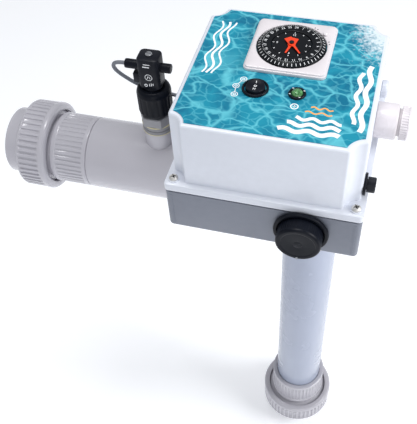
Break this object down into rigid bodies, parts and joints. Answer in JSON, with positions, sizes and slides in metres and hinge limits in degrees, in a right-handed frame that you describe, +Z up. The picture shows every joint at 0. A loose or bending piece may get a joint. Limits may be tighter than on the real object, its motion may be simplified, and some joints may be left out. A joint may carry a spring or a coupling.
{
  "type": "salt chlorine generator",
  "caption": "Pool salt chlorinator: grey control box with time switch, rocker, lamp and knob on an electrode cell, with PVC pipes, ribbed union nuts and a paddle flow switch.",
  "frame": {"origin": "on the vertical pipe's axis, at the end face of the lower union", "axes": "+Z up along the vertical pipe, towards the control box; the run pipe leaves towards -X; the output knob faces -Y"},
  "size_m": [0.4331, 0.2065, 0.7073],
  "materials": {
    "lid_grey": "light grey moulded ABS, satin",
    "base_grey": "mid grey moulded ABS, matt",
    "pipe_grey": "light grey PVC",
    "clamp_grey": "mid grey moulded plastic",
    "white_plastic": "white moulded plastic",
    "black_plastic": "black moulded plastic, satin",
    "hand_orange": "orange-red plastic",
    "label_film": "printed film of rippling water in teal",
    "lens_green": "dark green translucent lens",
    "rubber": "black rubber",
    "cable_jacket": "grey cable jacket",
    "steel": "bright steel",
    "titanium": "coated titanium, dull grey",
    "board_green": "green circuit board"
  },
  "bodies": {
    "cell": {"lid_shell": "lid_grey", "blanking_plug": "lid_grey", "base_shell": "base_grey", "cell_tee": "pipe_grey", "run_end_cap": "pipe_grey", "vertical_pipe": "pipe_grey", "lower_collar": "pipe_grey", "left_collar": "pipe_grey", "flow_boss": "pipe_grey", "pipe_saddle": "clamp_grey", "saddle_strap": "clamp_grey", "electrode_head": "clamp_grey", "flow_adapter": "clamp_grey", "potentiometer": "clamp_grey", "timer_plate": "white_plastic", "outlet_body": "white_plastic", "timer_case": "black_plastic", "rocker_bezel": "black_plastic", "lamp_bezel": "black_plastic", "knob_dish": "black_plastic", "fuse_holder": "black_plastic", "flow_body": "black_plastic", "reed_bar": "black_plastic", "sensor_gland": "black_plastic", "front_label": "label_film", "lamp_lens": "lens_green", "lid_gasket": "rubber", "lower_seal_ring": "rubber", "left_seal_ring": "rubber", "sensor_cable": "cable_jacket", "lid_screw_1": "steel", "lid_screw_2": "steel", "lid_screw_3": "steel", "lid_screw_4": "steel", "saddle_bolt_1": "steel", "saddle_bolt_2": "steel", "flow_head_screw": "steel", "paddle_pin": "steel", "transformer": "steel", "electrode_plate_1": "titanium", "electrode_plate_2": "titanium", "electrode_plate_3": "titanium", "circuit_board": "board_green"},
    "hour_ring": {"timer_hour_ring": "black_plastic"},
    "hour_hand": {"timer_hour_hand": "hand_orange"},
    "minute_hand": {"timer_minute_hand": "hand_orange"},
    "override_lever": {"timer_override_lever": "white_plastic"},
    "rocker": {"rocker": "black_plastic"},
    "knob": {"output_knob": "black_plastic"},
    "fuse": {"fuse_cartridge": "steel"},
    "fuse_cap": {"fuse_cap": "black_plastic"},
    "outlet_seal": {"outlet_seal": "rubber"},
    "outlet_cap": {"outlet_cap": "white_plastic"},
    "left_tail": {"left_union_tail": "pipe_grey"},
    "left_nut": {"left_union_nut": "pipe_grey"},
    "lower_tail": {"lower_union_tail": "pipe_grey"},
    "lower_nut": {"lower_union_nut": "pipe_grey"},
    "slip_ring": {"flow_slip_ring": "rubber"},
    "flow_nut": {"flow_nut": "black_plastic"},
    "paddle": {"flow_paddle": "steel"}
  },
  "joints": [
    {"name": "timer_ring_turn", "type": "hinge", "parent": "cell", "child": "hour_ring", "pos_m": [-0.0292, -0.0161, 0.703], "axis": [0, 0, -1], "continuous": true},
    {"name": "hour_hand_turn", "type": "hinge", "parent": "cell", "child": "hour_hand", "pos_m": [-0.0292, -0.0161, 0.703], "axis": [0, 0, -1], "continuous": true},
    {"name": "minute_hand_turn", "type": "hinge", "parent": "cell", "child": "minute_hand", "pos_m": [-0.0292, -0.0161, 0.703], "axis": [0, 0, -1], "continuous": true},
    {"name": "lever_turn", "type": "hinge", "parent": "cell", "child": "override_lever", "pos_m": [-0.0292, -0.0161, 0.703], "axis": [0, 0, 1], "range_deg": [0, 36]},
    {"name": "rocker_tilt", "type": "hinge", "parent": "cell", "child": "rocker", "pos_m": [-0.0485, -0.0735, 0.6975], "axis": [1, 0, 0], "range_deg": [-10, 10]},
    {"name": "knob_turn", "type": "hinge", "parent": "cell", "child": "knob", "pos_m": [0.0064, -0.1343, 0.5995], "axis": [0, 1, 0], "range_deg": [0, 270]},
    {"name": "fuse_slide", "type": "slide", "parent": "cell", "child": "fuse", "axis": [1, 0, 0], "range_m": [0, 0.035]},
    {"name": "fuse_cap_turn", "type": "hinge", "parent": "fuse", "child": "fuse_cap", "pos_m": [0.0525, -0.107, 0.641], "axis": [1, 0, 0], "range_deg": [0, 90]},
    {"name": "outlet_seal_slide", "type": "slide", "parent": "cell", "child": "outlet_seal", "axis": [1, 0, 0], "range_m": [0, 0.003]},
    {"name": "outlet_cap_turn", "type": "hinge", "parent": "outlet_seal", "child": "outlet_cap", "pos_m": [0.075, -0.042, 0.6555], "axis": [1, 0, 0], "range_deg": [0, 720]},
    {"name": "left_tail_slide", "type": "slide", "parent": "cell", "child": "left_tail", "axis": [-1, 0, 0], "range_m": [0, 0.015]},
    {"name": "left_nut_turn", "type": "hinge", "parent": "left_tail", "child": "left_nut", "pos_m": [-0.3, 0, 0.507], "axis": [-1, 0, 0], "range_deg": [0, 1080]},
    {"name": "lower_tail_slide", "type": "slide", "parent": "cell", "child": "lower_tail", "axis": [0, 0, -1], "range_m": [0, 0.015]},
    {"name": "lower_nut_turn", "type": "hinge", "parent": "lower_tail", "child": "lower_nut", "pos_m": [0, 0, 0.04], "axis": [0, 0, -1], "range_deg": [0, 1080]},
    {"name": "slip_ring_slide", "type": "slide", "parent": "cell", "child": "slip_ring", "axis": [0, 0, 1], "range_m": [0, 0.0018]},
    {"name": "flow_nut_turn", "type": "hinge", "parent": "slip_ring", "child": "flow_nut", "pos_m": [-0.172, 0, 0.6], "axis": [0, 0, 1], "range_deg": [0, 360]},
    {"name": "paddle_swing", "type": "hinge", "parent": "cell", "child": "paddle", "pos_m": [-0.172, 0, 0.566], "axis": [0, -1, 0], "range_deg": [0, 15], "stiffness_Nm_per_rad": 0.01}
  ],
  "couplings": [
    {"joint": "hour_hand_turn", "follows": "timer_ring_turn", "ratio": 2},
    {"joint": "minute_hand_turn", "follows": "timer_ring_turn", "ratio": 24},
    {"joint": "outlet_seal_slide", "follows": "outlet_cap_turn", "m_per_rad": 0.00023873},
    {"joint": "left_tail_slide", "follows": "left_nut_turn", "m_per_rad": 0.00079577},
    {"joint": "lower_tail_slide", "follows": "lower_nut_turn", "m_per_rad": 0.00079577},
    {"joint": "slip_ring_slide", "follows": "flow_nut_turn", "m_per_rad": 0.00028647}
  ]
}
